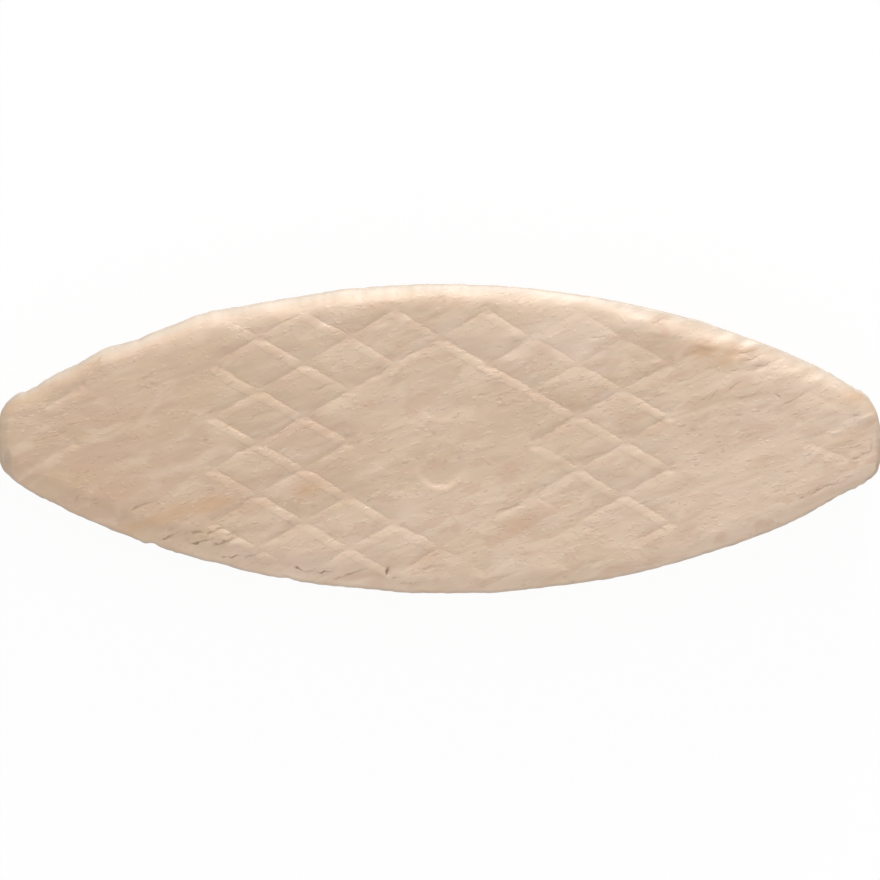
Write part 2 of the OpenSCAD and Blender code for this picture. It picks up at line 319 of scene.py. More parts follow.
def inwardDistance(x, y):
    # distance in from the outline: the lesser of the distances to the edge arc on this side and to
    # the tip's parabola, blended at the corner, plus the outline's dents and its grit, which is noise
    radius, centre = arcSizes()
    side = np.where(y >= 0, 1, -1)
    toArc = radius - np.hypot(x - blank["arcShift"], np.abs(y) + centre)
    for place, dentSide, reach, height in blank["edgeDents"]:
        toArc = toArc + height * (side == dentSide) * np.exp(-((x - place) / reach) ** 2)
    grit = blank["edgeGrit"] + blank["tipGrit"] * smoothStep(*blank["tipStart"], np.abs(x))
    toArc = toArc + grit * (smoothNoise(x * 1.7 + 40, side * 3.5 + 9, 3) - 0.5)
    toArc = toArc + grit * (smoothNoise(x * 4.1 + 40, side * 3.5 + 9, 4) - 0.5)
    toTip = blank["length"] / 2 - y * y / (2 * blank["crownRadius"]) - np.abs(x)
    toTip = toTip + blank["tipGrit"] * (smoothNoise(np.sign(x) * 3.5 + 9, y * 3.1 + 40, 5) - 0.7)
    for place, end, reach, height in blank["tipDents"]:
        toTip = toTip + height * (np.sign(x) == end) * np.exp(-((y - place) / reach) ** 2)
    blend = blank["cornerBlend"]
    overlap = np.maximum(blend - np.abs(toArc - toTip), 0) / blend
    return np.minimum(toArc, toTip) - overlap ** 2 * blend / 4


def tornShare(x, y, inward):
    # how torn each place is: 1 along the torn edges, fading out at their ends and in over the face
    torn = np.zeros_like(x)
    along, across = grainPlace(x, y)
    ragged = 1 + 0.35 * smoothNoise(along / 1.1, across / 0.6, 21)
    for start, end, side, width, strength in blank["tornEdges"]:
        inside = smoothStep(start, start + 2, x) * (1 - smoothStep(end - 2, end, x))
        inside = inside * (np.sign(y) == side)
        outward = 1 - smoothStep(0.75, 1.15, inward / width / ragged)
        torn = np.maximum(torn, strength * inside * outward)
    return torn


def rolledEdge(x, y, inward, fresh):
    # drop of the face towards the outline: a straight slope that starts softly, at a distance in
    # from the outline which differs along the edges, and a quarter circle where it meets the wall.
    # The slope is less on the torn shoulder and, by a bell curve, where the upper edge is worn. The
    # face bends down to the upper edge as (1 - distance / reach) squared, and leans out where torn.
    # A fresh face, as the one below, has no grit, no torn shoulder and none of the last two
    reaches = [np.interp(x, *zip(*blank[name])) for name in ("lowerReach", "upperReach")]
    share = smoothStep(*blank["edgeChange"], y)
    reach = reaches[0] * (1 - share) + reaches[1] * share
    reach = reach + blank["rimGrit"] * smoothNoise(x / 1.3 + 50, y / 1.3 + 50, 22) * (not fresh)
    soft = blank["rimSoft"]
    shoulder = 0 if fresh else smoothStep(*blank["shoulder"], x) * share
    slope = blank["rimSlope"] + (blank["tornRimSlope"] - blank["rimSlope"]) * shoulder
    for place, halfLength, less in blank["wornEdgeAndGreyLine"]:
        slope = slope * (1 - less * share * np.exp(-((x - place) / halfLength) ** 2))
    drop = slope * soft * np.logaddexp(0, (reach - inward) / soft)
    corner = 1 - np.clip(inward / blank["rimRound"], 0, 1)
    drop = drop + blank["rimRound"] * (1 - np.sqrt(1 - corner ** 2))
    if fresh:
        return drop
    crown = np.maximum(1 - inward / blank["crownReach"], 0) ** 2 * share
    crown = crown * smoothStep(*blank["crownStart"], x) * (1 - smoothStep(*blank["crownEnd"], x))
    drop = drop + blank["crownSlope"] * blank["crownReach"] / 2 * crown
    along, across = grainPlace(x, y)
    ragged = 1 + 0.25 * smoothNoise(along / 1.4, across / 0.5, 23)
    for start, end, side, width, strength in blank["tornEdges"]:
        inside = smoothStep(start, start + 3, x) * (1 - smoothStep(end - 3, end, x))
        inside = inside * (np.sign(y) == side)
        lean = blank["tornSlope"] * strength * inside * soft
        drop = drop + lean * np.logaddexp(0, (width * ragged - inward) / soft)
    return drop


def latticeLines(fresh):
    # ends of the pressed lines, counted in half diamonds, and their strengths: the lines that rise to
    # the right, then the same mirrored, then the first lines of the next lattice at each tip
    cells, panel, point = lattice["fieldCells"], lattice["panelCells"], lattice["panelReach"]
    rising = []
    for a in range(2 - 2 * cells, 2 * cells - 1, 2):
        low, high = max(-cells, a - cells), min(cells, a + cells)
        gapLow, gapHigh = max(-panel, (a - point) / 2), min(panel, (a + point) / 2)
        spans = [(low, gapLow), (gapHigh, high)] if abs(a) < point else [(low, high)]
        rising += [((start, start - a), (end, end - a), 1.0) for start, end in spans]
    falling = [((start[0], -start[1]), (end[0], -end[1]), 1.0) for start, end, _ in rising]
    tips = [(start, end, 1.0 if fresh else share) for start, end, share in lattice["tipLines"]]
    return rising + falling + tips


def latticeRelief(x, y, fresh):
    # each line is a hollow: the land bends down to it as (1 - distance / reach) squared on both
    # sides, and on the upper side part of the depth is a crease, exp(-distance / width). Crossing
    # hollows add up, but go no deeper than the deeper one, and each crossing is a small level pit.
    # Also gives, for rising and for falling lines, how far a point lies above the nearest line and
    # how strong that line is there, which is nothing at a crossing
    stepX, stepY = lattice["diamondLength"] / 2, lattice["diamondWidth"] / 2
    u, v = x - lattice["centre"][0], y - lattice["centre"][1]
    strength = np.ones_like(x)
    if not fresh:
        u = u + lattice["wander"] * smoothNoise(x * 0.4 + 60, y * 0.4 + 60, 5)
        v = v + lattice["wander"] * smoothNoise(x * 0.4 + 60, y * 0.4 + 60, 6)
        v = v + lattice["ragged"] * smoothNoise(x * 2.3 + 60, y * 2.3 + 60, 7)
        strength = strength + lattice["unevenness"] * smoothNoise(x * 0.6 + 60, y * 0.6 + 60, 8)
        strength = strength + lattice["unevenness"] * smoothNoise(x * 1.6 + 60, y * 1.6 + 60, 9)
        for along, across, radius, left in lattice["wornSpots"]:
            near = np.exp(-((x - along) ** 2 + (y - across) ** 2) / radius ** 2)
            strength = strength * (1 - (1 - left) * near)
    narrow = lattice["creaseWidth"]
    sunken, floor = np.zeros_like(x), np.full_like(x, 1e-6)
    nothing = [np.full_like(x, lattice["furthest"]), np.zeros_like(x)]
    nearest = {"rising": nothing, "falling": nothing}
    for start, end, share in latticeLines(fresh):
        startPlace, endPlace = (start[0] * stepX, start[1] * stepY), (end[0] * stepX, end[1] * stepY)
        above, past = lineDistance(u, v, startPlace, endPlace)
        rises = (end[0] - start[0]) * (end[1] - start[1]) > 0
        kind = "rising" if rises else "falling"
        depth, lowReach, highReach, crease = lattice[kind]
        fade = np.maximum(1 - past / lattice["endFade"], 0) ** 2 * share
        below = np.maximum(1 + above / lowReach, 0) ** 2
        over = (1 - crease) * np.maximum(1 - above / highReach, 0) ** 2
        over = over + crease * np.exp(-np.maximum(above, 0) / narrow)
        sunken = sunken + depth * fade * np.where(above > 0, over, below)
        floor = np.maximum(floor, depth * fade * np.exp(-(above / lattice["cornerReach"]) ** 2))
        oldAbove, oldFade = nearest[kind]
        closer = (np.abs(above) < np.abs(oldAbove)) & (fade > 0)
        nearest[kind] = [np.where(closer, above, oldAbove), np.where(closer, fade, oldFade)]
    filled = np.maximum(sunken / floor, 1e-6)
    share = (filled ** -lattice["cornerCut"] + 1) ** (-1 / lattice["cornerCut"])
    first, second = (u / stepX + v / stepY) / 2, (u / stepX - v / stepY) / 2
    first, second = first - np.round(first), second - np.round(second)
    toNode = np.hypot((first + second) * stepX, (first - second) * stepY) / lattice["nodeReach"]
    share = np.maximum(share, 1 - smoothStep(lattice["nodeLevel"], 1.0, toNode))
    strength = strength * (floor > 1e-5)
    atTip = smoothStep(*lattice["tipField"], np.abs(u) / stepX)
    clear = smoothStep(*lattice["creaseClear"], toNode) * (1 - (1 - lattice["tipCrease"]) * atTip)
    lines = {kind: (above, fade * strength * clear) for kind, (above, fade) in nearest.items()}
    return -floor * share * strength, lines


def lineDistance(x, y, start, end):
    # how far a point lies above the line through two lattice nodes, and how far past the nodes
    runX, runY = end[0] - start[0], end[1] - start[1]
    run = max(math.hypot(runX, runY), 1e-9)
    above = math.copysign(1, runX) * ((y - start[1]) * runX - (x - start[0]) * runY) / run
    along = ((x - start[0]) * runX + (y - start[1]) * runY) / run
    return above, np.maximum(np.maximum(-along, along - run), 0)


def dimpleRelief(x, y):
    # round dishes with steep walls: a floor out to a share of the radius, and then a wall which is
    # the curve 3t^2 - 2t^3. The floor tilts, deeper on the lower side, as the press left it
    relief = np.zeros_like(x)
    for along, across, radius, depth in dimples["places"]:
        away = np.hypot(x - along, y - across) / radius
        tilt = dimples["tilt"] * (1 - (y - across) / radius)
        relief = relief - depth * tilt * (1 - smoothStep(dimples["floor"], 1.0, away))
    return relief


def tearRelief(x, y):
    # each tear drops at once along its line and rises slowly on its lower side. It is deepest at its
    # start and fades out at both ends. Also gives how far a point lies above the strongest tear near
    # it, and how strong that tear is there
    relief, line, share = np.zeros_like(x), np.full_like(x, 9.0), np.zeros_like(x)
    wobbleX = tearShape["wobble"] * smoothNoise(x * 2.2, y * 2.2, 11)
    wobbleY = tearShape["wobble"] * smoothNoise(x * 2.2, y * 2.2, 12)
    startDepth, endDepth = tearShape["depths"]
    fixedFade, fadeShare = tearShape["fade"]
    edge, reach, furthest = tearShape["edge"], tearShape["reach"], tearShape["furthest"]
    for startX, startY, endX, endY, width, depth in tears:
        above, past = lineDistance(x + wobbleX, y + wobbleY, (startX, startY), (endX, endY))
        run = math.hypot(endX - startX, endY - startY)
        along = ((x - startX) * (endX - startX) + (y - startY) * (endY - startY)) / run ** 2
        ends = np.exp(-(past / (fixedFade + fadeShare * run)) ** 2)
        ends = ends * (startDepth + (endDepth - startDepth) * np.clip(along, 0, 1))
        slope = np.maximum(1 + above / width, 0) ** 1.5 * smoothStep(-edge, edge, -above)
        relief = relief - depth * ends * slope
        stronger = depth * ends * np.exp(-(above / reach) ** 2) > share * np.exp(-(line / reach) ** 2)
        line, share = np.where(stronger, above, line), np.where(stronger, depth * ends, share)
    share = share / tearShape["fullDepth"] * np.exp(-(line / tearShape["wallReach"]) ** 2)
    return relief, np.clip(line, -furthest, furthest), np.clip(share, 0, 1)


def woodRelief(x, y, torn, seed):
    # slow waves, fine ridges along the grain, and loose flakes on the torn shoulder that rise slowly
    # across the grain and drop at once
    along, across = grainPlace(x, y)
    calmStart, calmEnd, calmShare = grain["calm"]
    livelyStart, livelyEnd, added = grain["lively"]
    strength = calmShare + (1 - calmShare) * smoothStep(calmStart, calmEnd, x)
    strength = strength + added * smoothStep(livelyStart, livelyEnd, x)
    wave = smoothNoise(along / 4, across / 2.2, seed)
    wave = wave + 0.6 * smoothNoise(along / 2, across / 1.2, seed + 5)
    ridges = smoothNoise(along / 0.8, across / 0.3, seed + 1)
    ridges = ridges + 2.8 * smoothNoise(along / 1.4, across / 0.75, seed + 2)
    steps = across / 0.75 + 0.7 * smoothNoise(along / 1.3, across / 0.9, seed + 3)
    patchy = 0.5 + 0.5 * smoothNoise(along / 0.9, across / 0.7, seed + 4)
    flake = (steps - np.floor(steps)) ** 2 * patchy
    waves = strength * (grain["waveHeight"] * wave + grain["fibreHeight"] * ridges)
    return waves - grain["flakeHeight"] * flake * torn


def markFade(inward):
    # share of every mark that is left on the steep rim
    left, whole = blank["markFade"]
    return left + (1 - left) * smoothStep(0, whole, inward)


def upperFace(x, y):
    # thickness less the rolled edge, plus every mark in the face, which fades on the steep rim
    inward = inwardDistance(x, y)
    marks = latticeRelief(x, y, False)[0] + dimpleRelief(x, y) + tearRelief(x, y)[0]
    marks = marks + woodRelief(x, y, tornShare(x, y, inward), 31) - grain["waveHeight"]
    return blank["thickness"] - rolledEdge(x, y, inward, False) + marks * markFade(inward)


def lowerFace(x, y):
    # the rolled edge from below, with the same press marks and no torn slivers. Nothing reaches below
    # the table
    inward = inwardDistance(x, y)
    marks = latticeRelief(x, y, True)[0] + dimpleRelief(x, y)
    marks = marks + woodRelief(x, y, np.zeros_like(x), 51) - grain["waveHeight"]
    return np.maximum(rolledEdge(x, y, inward, True) - marks * markFade(inward), blank["clearance"])


def faceGrid(columns, rows, rimRows):
    # plan of one face. Column i runs from the lower edge through the middle line to the upper edge,
    # towards the i-th of evenly spaced places on the outline, and its rows crowd at the rolled edge
    radius, centre = arcSizes()
    half = blank["length"] / 2
    arcX = np.linspace(-half, half, 2000)
    arcY = np.sqrt(radius ** 2 - arcX ** 2) - centre
    pathX = np.concatenate([[-half], arcX, [half]])
    pathY = np.concatenate([[0], arcY, [0]])
    travelled = np.concatenate([[0], np.cumsum(np.hypot(np.diff(pathX), np.diff(pathY)))])
    places = np.linspace(0, travelled[-1], columns + 1)
    aimX, aimY = np.interp(places, travelled, pathX), np.interp(places, travelled, pathY)
    rootX = blank["rayRoot"] * aimX
    rimShare = 1 - np.sin(np.linspace(0, math.pi / 2, rimRows + 1))
    halves = []
    for side in (-1, 1):
        near, far = np.full(columns + 1, 0.5), np.full(columns + 1, 1.4)
        for _ in range(34):
            middle = (near + far) / 2
            inside = inwardDistance(rootX + middle * (aimX - rootX), side * (middle * aimY + 1e-9)) > 0
            near, far = np.where(inside, middle, near), np.where(inside, far, middle)
        reachX, reachY = near * (aimX - rootX), side * near * aimY
        ray = np.hypot(reachX, reachY)
        rimStart = 1 - blank["rimBand"] / ray
        flat = np.linspace(0, 1, rows - rimRows + 1)[:-1, None] * rimStart
        rim = 1 - rimShare[:, None] * (1 - rimStart)
        share = np.concatenate([flat, rim])
        halves.append((rootX + share * reachX, share * reachY))
    lower, upper = halves
    gridX = np.concatenate([lower[0][::-1], upper[0][1:]]).T
    gridY = np.concatenate([lower[1][::-1], upper[1][1:]]).T
    return gridX, gridY


def gridNumbers(columns, rows, first):
    # vertex numbers of a face's grid. The two halves of the first and last column lie on each other
    # along the middle line, so they share numbers
    numbers = np.zeros((columns + 1, 2 * rows + 1), int)
    numbers[:, rows:] = np.arange((columns + 1) * (rows + 1)).reshape(columns + 1, rows + 1)
    lower = np.arange((columns - 1) * rows).reshape(-1, rows)
    numbers[1:-1, :rows] = numbers[:, rows:].max() + 1 + lower
    numbers[[0, -1], :rows] = numbers[[0, -1], rows + 1:][:, ::-1]
    return numbers + first


def ringOf(numbers):
    # the outline's vertex numbers, along the upper edge to the right and back along the lower edge
    return np.concatenate([numbers[:, -1], numbers[-2:0:-1, 0]])


def gridQuads(numbers):
    # the four corners of every cell, in turn
    corners = [numbers[:-1, :-1], numbers[1:, :-1], numbers[1:, 1:], numbers[:-1, 1:]]
    return np.stack(corners, -1).reshape(-1, 4)


def ringQuads(upperRing, lowerRing):
    # quads between two rings of the same count, facing outwards
    return np.stack([upperRing, np.roll(upperRing, -1), np.roll(lowerRing, -1), lowerRing], -1)


def buildBiscuit():
    # the upper face's grid, rings down the wall and the underside's grid, joined at the outlines
    columns, rows, underRows = blank["columns"], blank["rows"], blank["underRows"]
    topX, topY = faceGrid(columns, rows, blank["rimRows"])
    topNumbers = gridNumbers(columns, rows, 0)
    points = np.zeros((topNumbers.max() + 1, 3))
    points[topNumbers] = np.stack([topX, topY, upperFace(topX, topY)], -1)
    faces = [gridQuads(topNumbers)]

    # the wall: rings straight down from the outline, with fibres that stand in and out a little
    ring = ringOf(topNumbers)
    outline = points[ring]
    wallTop, wallFoot = outline[:, 2], lowerFace(outline[:, 0], outline[:, 1])
    for share in blank["wallRings"]:
        level = wallTop * (1 - share) + wallFoot * share
        along = grainPlace(outline[:, 0], outline[:, 1])[0]
        uneven = 1 + smoothNoise(along / 0.8, level / 0.3, 71)
        inset = blank["wallGrit"] * math.sin(math.pi * share) * uneven
        newRing = len(points) + np.arange(len(ring))
        shrink = 1 - inset / np.hypot(outline[:, 0], outline[:, 1])
        newPoints = np.stack([outline[:, 0] * shrink, outline[:, 1] * shrink, level], -1)
        points = np.concatenate([points, newPoints])
        faces.append(ringQuads(ring, newRing))
        ring = newRing

    # the underside has half the columns, so five-sided faces join it to the wall
    underX, underY = faceGrid(columns // 2, underRows, blank["rimRows"] // 2)
    underNumbers = gridNumbers(columns // 2, underRows - 1, len(points))
    underX, underY = underX[:, 1:-1], underY[:, 1:-1]
    underPoints = np.zeros((underNumbers.max() + 1 - len(points), 3))
    underPoints[underNumbers - len(points)] = np.stack([underX, underY, lowerFace(underX, underY)], -1)
    points = np.concatenate([points, underPoints])
    faces.append(gridQuads(underNumbers)[:, ::-1])
    underRing = ringOf(underNumbers)
    nextUnder = np.roll(underRing, -1)
    faces.append(np.stack([ring[::2], ring[1::2], np.roll(ring, -2)[::2], nextUnder, underRing], -1))
    faceList = [face for group in faces for face in group.tolist()]
    return points * mm, faceList, topNumbers.max() + 1


points, faces, upperCount = buildBiscuit()
mesh = bpy.data.meshes.new("pressedLens")
mesh.from_pydata(points.tolist(), [], faces)
mesh.polygons.foreach_set("use_smooth", np.ones(len(mesh.polygons), bool))
mesh.update()
biscuit = bpy.data.objects.new("pressed_lens", mesh)
bpy.context.scene.collection.objects.link(biscuit)
print("lens shaped:", len(points), "points,", sum(len(face) - 2 for face in faces), "triangles")


# The darker end grain at each tip, partly painted shade on the steep tips. It reaches further in on
# the tip's lower half, which faces away from the key lamp, and is darker there as painted shade
endGrainAndShade = {
    # how far in it reaches above, how much further below, and the stretch downwards between
    "right": (0.38, 0.05, (-0.4, 0.9)),
    "left": (0.60, 0.25, (0.3, 1.1)),
    "share": (0.35, 0.55),   # share of its colour above, and how much more below, which is painted shade
    "edge": 0.06,            # how softly it starts
    "wallEdge": 2.0,         # the same on the wall and the underside
    "blotches": 0.5,         # how uneven it is
    "ragged": 0.1,           # and how ragged its start
}
highlightFacing = (0.2, 0.5)     # a painted highlight lies where the face's normal leans this far towards the key lamp


def spreadAlongGrain(rows, along, across):
    # sum of bell curves, each stretched along the grain, made uneven by noise and kept from 0 to 1
    shade = np.zeros(len(along))
    for placeX, placeY, halfLength, halfWidth, strength in rows:
        placeAlong, placeAcross = grainPlace(placeX, placeY)
        away = ((along - placeAlong) / halfLength) ** 2 + ((across - placeAcross) / halfWidth) ** 2
        shade = shade + strength * np.exp(-away)
    return np.clip(shade * (0.8 + 0.5 * smoothNoise(along / 1.2, across / 0.35, 81)), 0, 1)


def endGrainAndShadeShare(x, y, upper):
    # 1 out at the tips and 0 further in, with a ragged line between, times the colour's share
    right, rightMore, rightStretch = endGrainAndShade["right"]
    left, leftMore, leftStretch = endGrainAndShade["left"]
    low = np.where(x > 0, smoothStep(*rightStretch, -y), smoothStep(*leftStretch, -y))
    reach = np.where(x > 0, right + rightMore * low, left + leftMore * low)
    start = blank["length"] / 2 - reach
    start = start + endGrainAndShade["ragged"] * smoothNoise(y * 2.5 + 40, x * 0.1 + 40, 82)
    soft = np.where(upper, endGrainAndShade["edge"], endGrainAndShade["wallEdge"])
    blotch = 1 + endGrainAndShade["blotches"] * smoothNoise(y * 3.0 + 40, x * 6.0 + 200, 83)
    above, more = endGrainAndShade["share"]
    return smoothStep(-soft, endGrainAndShade["edge"], np.abs(x) - start) * (above + more * low) * blotch


def paintWood():
    # what the wood's looks follow, kept on the vertices: clouds and rubbed places along the grain, with
    # some clouds of painted shade and painted highlight, the painted highlight on slopes that face the
    # key lamp, the tone from left to right, the end grain at the tips with painted shade on their lower
    # halves, the lines of the tears and of the lattice, the torn edges, and the distance in from the
    # outline. The wall and the underside have few of them
    x, y = points[:, 0] / mm, points[:, 1] / mm
    along, across = grainPlace(x, y)
    facing = np.zeros(len(x) * 3)
    mesh.vertices.foreach_get("normal", facing)
    upper = np.arange(len(x)) < upperCount
    inward = inwardDistance(x, y)
    tone = 0.5 + x / blank["length"] + 0.25 * smoothNoise(along / 9, across / 3, 91)
    tearLine, tearShare = tearRelief(x, y)[1:]
    lines = latticeRelief(x, y, False)[1]
    looks = {
        "cloudAndShade": spreadAlongGrain(cloudsAndShade, along, across),
        "paleCloudAndHighlight": spreadAlongGrain(paleCloudsAndHighlights, along, across),
        "rubbed": spreadAlongGrain(rubbed, along, across) * upper,
        "crestHighlight": smoothStep(*highlightFacing, facing[1::3]) * upper,
        "tone": np.clip(tone, 0, 1),
        "endGrainAndShade": endGrainAndShadeShare(x, y, upper),
        "tearLine": tearLine,
        "tearShare": tearShare * upper,
        "torn": tornShare(x, y, inward) * upper,
        "inward": np.where(upper, np.clip(inward, 0, 1), 1),
        "riseLine": lines["rising"][0],
        "riseShare": lines["rising"][1] * upper,
        "fallLine": lines["falling"][0],
        "fallShare": lines["falling"][1] * upper,
    }
    for name, values in looks.items():
        attribute = mesh.attributes.new(name, "FLOAT", "POINT")
        attribute.data.foreach_set("value", values.astype(np.float32))


paintWood()
print("wood's marks kept on the lens")

# Beech, as pale as the photograph shows it under plain light
beech = {
    "yellow": (0.600, 0.434, 0.292),
    "pink": (0.580, 0.404, 0.286),
    "pale": (0.76, 0.60, 0.47),
    "streak": (0.545, 0.385, 0.27),
    "blush": (0.605, 0.42, 0.30),
    # brown of the wood's clouds, also used as painted shade
    "cloudAndShade": (0.585, 0.37, 0.215),
    # the end grain's darker colour, also used as painted shade on the tips
    "endGrainAndShade": (0.49, 0.365, 0.27),
    # dark flecks of the wood, also used as painted shade in the sunken flecks
    "fleckAndShade": (0.36, 0.25, 0.165),
    # painted shade on the wall of a tear
    "tearShade": (0.31, 0.20, 0.125),
    # colour of a darker grey line along the outline
    "rim": (0.385, 0.325, 0.27),
    # greyer colour of the painted highlight's outer part, a painted sheen
    "crestHighlight": (0.60, 0.55, 0.47),
    "roughness": 0.5,
    # share of the colour that each look brings in where it is at full strength
    "shares": {
        "tone": 0.56, "mottle": 0.42, "streak": 0.6, "patch": 0.7, "cloudAndShade": 0.7, "crestHighlight": 0.2,
        "outerHighlight": 0.45, "raised": 0.3, "sunken": 0.22, "speck": 0.25, "bare": 0.12, "rim": 0.38,
        "lineUnevenness": 0.3,
    },
    # patterns along the grain: length and width of a patch in millimetres, finer detail, waviness, and
    # the range of the noise over which the pattern sets in
    "patterns": {
        "tint": (3.6, 1.9, 2.0, 0.5, 0.35, 0.62),
        "mottle": (2.6, 1.2, 2.0, 0.5, 0.42, 0.72),
        "streak": (4.5, 0.55, 2.0, 0.4, 0.52, 0.78),
        "patch": (1.7, 0.7, 1.0, 0.4, 0.50, 0.66),
        "rough": (2.0, 1.1, 1.0, 0.0, 0.42, 0.60),
        "raised": (0.42, 0.20, 0.0, 0.0, 0.64, 0.80),
        "sunken": (0.55, 0.22, 0.0, 0.0, 0.66, 0.82),
        "chip": (0.33, 0.24, 0.0, 0.0, 0.66, 0.80),
        "speck": (0.27, 0.18, 0.0, 0.0, 0.72, 0.80),
        "whole": (1.6, 0.5, 1.0, 1.2, 0.44, 0.58),
        "ragged": (0.35, 0.20, 1.0, 0.0, 0.2, 0.8),
        "lineUnevenness": (0.8, 0.6, 2.0, 0.0, 0.35, 0.70),
    },
    "fibre": (1.5, 0.75, 1.0, 0.4),  # the same for the fibres, which show over the whole range
    "drift": (0.3, 0.5),     # the patterns stray: patches per millimetre, and how far in millimetres
    "leastRough": 0.1,       # share of flecks in the smoothest places
    "blushTones": (0.1, 0.6),  # the blush sets in over these tones
    "rimWidth": (0.03, 0.26),  # millimetres in from the outline, where the darker grey line along it fades
    "highlightWidth": (0.20, 0.75),  # the same, where the greyer part of the painted highlight fades
    "reliefWidth": (0.3, 0.95),  # the same, where the fine relief grows to its whole height
    "rimRelief": 0.3,        # share of that height on the rim
    "raggedness": 0.06,      # how far a line's edge strays in millimetres
    "tearShadeWidth": 0.07,       # width of the painted shade on a tear's wall
    "deepTearShade": 0.03,        # and how much wider that shade is at full strength
    "tearStep": 0.03,        # half width of a tear's step, in the fine relief
    "tearSlope": 0.3,        # and of the slope below it
    "creaseWidth": 0.14,     # half width of the crease along a pressed line
    "fibreRelief": 0.048,    # millimetres that the fibres stand up
    "fleckRelief": 0.014,    # the same for the small flecks
    "chipRelief": 0.014,     # for the chips
    "tearRelief": 0.018,     # for the sharp edge of a tear
    "creaseRelief": 0.017,   # and for the crease along a pressed line
}


def addNode(tree, kind, inputs=None, **settings):
    # a node whose inputs are linked where the value is another node's socket, and set otherwise
    node = tree.nodes.new(kind)
    for name, value in settings.items():
        setattr(node, name, value)
    for name, value in (inputs or {}).items():
        if isinstance(value, bpy.types.NodeSocket):
            tree.links.new(value, node.inputs[name])
        else:
            node.inputs[name].default_value = value
    return node


def grainNoise(tree, place, length, width, detail, waviness):
    # noise whose cells have a length along the grain and a width across it
    mapping = addNode(tree, "ShaderNodeMapping", {
        "Vector": place, "Rotation": (0, 0, grain["angle"]),
        "Scale": (length * mm, width * mm, width * mm),
    }, vector_type="TEXTURE")
    noise = addNode(tree, "ShaderNodeTexNoise", {
        "Vector": mapping.outputs["Vector"], "Scale": 1.0, "Detail": detail, "Distortion": waviness,
    })
    return noise.outputs["Fac"]


def rangeOf(tree, value, low, high, start=0.0, end=1.0):
    # start up to low, end from high on, and the curve 3t^2 - 2t^3 between
    node = addNode(tree, "ShaderNodeMapRange", {
        "Value": value, "From Min": low, "From Max": high, "To Min": start, "To Max": end,
    }, clamp=True, interpolation_type="SMOOTHSTEP")
    return node.outputs["Result"]


def mixColour(tree, share, first, second):
    # the first colour with a share of the second
    node = addNode(tree, "ShaderNodeMix", data_type="RGBA")
    for socket, value in ((node.inputs[0], share), (node.inputs[6], first), (node.inputs[7], second)):
        if isinstance(value, bpy.types.NodeSocket):
            tree.links.new(value, socket)
        else:
            socket.default_value = (*value, 1.0) if isinstance(value, tuple) else value
    return node.outputs[2]


def attributeOf(tree, name):
    # one of the looks that are kept on the vertices
    return addNode(tree, "ShaderNodeAttribute", attribute_name=name).outputs["Fac"]


def mathOf(tree, operation, first, second=0.0):
    # one sum of two values
    return addNode(tree, "ShaderNodeMath", {0: first, 1: second}, operation=operation).outputs[0]


def product(tree, first, *others):
    # all of them multiplied
    for other in others:
        first = mathOf(tree, "MULTIPLY", first, other)
    return first


def oneLess(tree, share):
    # 1 less the share
    return mathOf(tree, "SUBTRACT", 1.0, share)


def woodPlace(tree):
    # the place on the piece, moved a little to and fro by slow noise
    patches, far = beech["drift"]
    place = addNode(tree, "ShaderNodeTexCoord").outputs["Object"]
    noise = addNode(tree, "ShaderNodeTexNoise", {"Vector": place, "Scale": patches / mm, "Detail": 0.0})
    middle = addNode(tree, "ShaderNodeVectorMath", {
        0: noise.outputs["Color"], 1: (0.5, 0.5, 0.5),
    }, operation="SUBTRACT")
    drift = addNode(tree, "ShaderNodeVectorMath", {
        0: middle.outputs["Vector"], 1: (far * mm, far * mm, 0),
    }, operation="MULTIPLY")
    moved = addNode(tree, "ShaderNodeVectorMath", {
        0: place, 1: drift.outputs["Vector"],
    }, operation="ADD")
    return moved.outputs["Vector"]


def woodPatterns(tree, place):
    # every pattern from 0 to 1, as the noise passes through its range. Flecks are kept off smooth and
    # rubbed places, the blush lies where the wood is pale, and bare patches where it is torn
    shown = {}
    for name, (length, width, detail, waviness, low, high) in beech["patterns"].items():
        shown[name] = rangeOf(tree, grainNoise(tree, place, length, width, detail, waviness), low, high)
    least = beech["leastRough"]
    rough = mathOf(tree, "ADD", product(tree, shown["rough"], 1 - least), least)
    rough = product(tree, rough, oneLess(tree, attributeOf(tree, "rubbed")))
    for name in ("raised", "sunken", "speck"):
        shown[name] = product(tree, shown[name], rough)
    blushed = rangeOf(tree, attributeOf(tree, "tone"), *beech["blushTones"])
    shown["patch"] = product(tree, shown["patch"], blushed)
    shown["bare"] = product(tree, oneLess(tree, shown["whole"]), attributeOf(tree, "torn"))
    return shown


